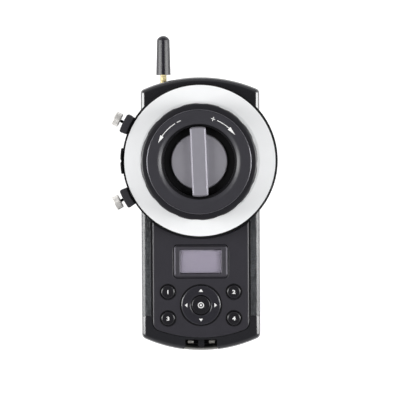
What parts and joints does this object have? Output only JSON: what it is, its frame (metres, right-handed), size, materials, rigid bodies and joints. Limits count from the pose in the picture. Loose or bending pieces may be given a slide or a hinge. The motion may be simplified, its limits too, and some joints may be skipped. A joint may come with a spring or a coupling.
{
  "type": "remote focus controller",
  "caption": "Hand-held wireless lens controller: a large focus wheel with a marking ring and clamp knob on a flat gripped body with a display, keypad and stub antenna.",
  "frame": {"origin": "mouth of the tripod thread in the plane of the back, on the wheel's axis", "axes": "+Z out of the front along the wheel's axis, +Y towards the antenna, +X to the right"},
  "size_m": [0.0974, 0.1865, 0.0719],
  "materials": {
    "shell": "satin black",
    "grip_leather": "fine grain, dark grey",
    "panel": "matt dark grey",
    "bezel": "black anodised",
    "window": "clear",
    "display": "unlit glass panel",
    "keys": "matt black",
    "circuit": "green laminate",
    "switch": "black",
    "steel": "bright",
    "brass": "turned",
    "rubber": "matt black",
    "black_metal": "black anodised",
    "ring_white": "matt white",
    "knob_face": "matt black",
    "grey_metal": "grey anodised",
    "battery_case": "dark grey",
    "felt": "pressed felt",
    "bearing_steel": "ground",
    "trim": "satin grey"
  },
  "bodies": {
    "body": {"front_housing": "shell", "rear_housing": "shell", "left_grip": "grip_leather", "right_grip": "grip_leather", "keypad_panel": "panel", "display_bezel": "bezel", "display_window": "window", "display_module": "display", "display_carrier": "switch", "dpad_cradle": "switch", "keypad_board": "circuit", "dome_switches": "switch", "board_screws": "steel", "strap_pin": "steel", "strap_guard": "trim", "housing_screws": "steel", "tripod_insert": "brass", "battery_pack": "battery_case", "battery_contacts": "brass", "door_hinge_pin": "steel", "main_board": "circuit", "radio_module": "steel", "angle_sensor": "switch", "power_switch": "switch", "antenna_connector": "brass", "bearing_carrier": "black_metal", "lower_bearing": "bearing_steel", "upper_bearing": "bearing_steel", "friction_ring": "felt", "track_ring": "black_metal", "track_screws": "steel", "index_pointer": "black_metal"},
    "wheel": {"wheel_shaft": "steel", "retaining_ring": "steel", "angle_magnet": "bearing_steel", "thrust_washer": "steel", "wheel_hub": "black_metal", "ring_magnets": "bearing_steel", "drive_pins": "steel", "marking_ring": "ring_white", "hand_knob": "knob_face", "knob_grip": "rubber"},
    "clamp": {"lock_disc": "grey_metal", "lock_bar": "grey_metal", "lock_screw": "steel"},
    "limit_upper": {"limit_block_upper": "black_metal"},
    "limit_lower": {"limit_block_lower": "black_metal"},
    "thumb_upper": {"thumb_screw_upper": "steel"},
    "thumb_lower": {"thumb_screw_lower": "steel"},
    "key_1": {"button_1": "keys"},
    "key_2": {"button_2": "keys"},
    "key_3": {"button_3": "keys"},
    "key_4": {"button_4": "keys"},
    "key_centre": {"centre_button": "keys"},
    "gimbal": {"dpad_gimbal": "switch"},
    "pad": {"dpad_ring": "keys"},
    "power_key": {"power_button": "keys"},
    "door": {"battery_door": "shell"},
    "latch": {"door_latch": "keys"},
    "antenna": {"antenna_sleeve": "rubber"}
  },
  "joints": [
    {"name": "wheel_turn", "type": "hinge", "parent": "body", "child": "wheel", "pos_m": [0, 0, 0.0505], "axis": [0, 0, 1], "range_deg": [-140, 140]},
    {"name": "clamp_turn", "type": "hinge", "parent": "wheel", "child": "clamp", "pos_m": [0, 0, 0.0629], "axis": [0, 0, 1], "range_deg": [0, 360]},
    {"name": "limit_upper_slide", "type": "hinge", "parent": "body", "child": "limit_upper", "pos_m": [0, 0, 0.0403], "axis": [0, 0, 1], "range_deg": [-110, 0]},
    {"name": "limit_lower_slide", "type": "hinge", "parent": "body", "child": "limit_lower", "pos_m": [0, 0, 0.0403], "axis": [0, 0, 1], "range_deg": [0, 110]},
    {"name": "thumb_upper_turn", "type": "hinge", "parent": "limit_upper", "child": "thumb_upper", "pos_m": [0, 0, 0.0403], "axis": [-0.893, 0.4501, 0], "range_deg": [0, 360]},
    {"name": "thumb_lower_turn", "type": "hinge", "parent": "limit_lower", "child": "thumb_lower", "pos_m": [0, 0, 0.0403], "axis": [-0.893, -0.4501, 0], "range_deg": [0, 360]},
    {"name": "button_1_press", "type": "slide", "parent": "body", "child": "key_1", "axis": [0, 0, -1], "range_m": [0, 0.0006], "stiffness_N_per_m": 600, "springref_m": -0.0005},
    {"name": "button_2_press", "type": "slide", "parent": "body", "child": "key_2", "axis": [0, 0, -1], "range_m": [0, 0.0006], "stiffness_N_per_m": 600, "springref_m": -0.0005},
    {"name": "button_3_press", "type": "slide", "parent": "body", "child": "key_3", "axis": [0, 0, -1], "range_m": [0, 0.0006], "stiffness_N_per_m": 600, "springref_m": -0.0005},
    {"name": "button_4_press", "type": "slide", "parent": "body", "child": "key_4", "axis": [0, 0, -1], "range_m": [0, 0.0006], "stiffness_N_per_m": 600, "springref_m": -0.0005},
    {"name": "centre_press", "type": "slide", "parent": "body", "child": "key_centre", "axis": [0, 0, -1], "range_m": [0, 0.0005], "stiffness_N_per_m": 600, "springref_m": -0.0005},
    {"name": "pad_tilt_up_down", "type": "hinge", "parent": "body", "child": "gimbal", "pos_m": [0, -0.0857, 0.0308], "axis": [1, 0, 0], "range_deg": [-1.4, 1.4], "stiffness_Nm_per_rad": 0.05},
    {"name": "pad_tilt_left_right", "type": "hinge", "parent": "gimbal", "child": "pad", "pos_m": [0, -0.0857, 0.0308], "axis": [0, 1, 0], "range_deg": [-1.4, 1.4], "stiffness_Nm_per_rad": 0.05},
    {"name": "power_press", "type": "slide", "parent": "body", "child": "power_key", "axis": [0, -1, 0], "range_m": [0, 0.0006], "stiffness_N_per_m": 600, "springref_m": -0.0005},
    {"name": "door_swing", "type": "hinge", "parent": "body", "child": "door", "pos_m": [0, -0.0381, 0.0017], "axis": [1, 0, 0], "range_deg": [0, 90]},
    {"name": "latch_slide", "type": "slide", "parent": "door", "child": "latch", "axis": [0, 1, 0], "range_m": [0, 0.002]},
    {"name": "antenna_turn", "type": "hinge", "parent": "body", "child": "antenna", "pos_m": [-0.0218, 0.062, 0.022], "axis": [0, 1, 0], "range_deg": [0, 360]}
  ]
}
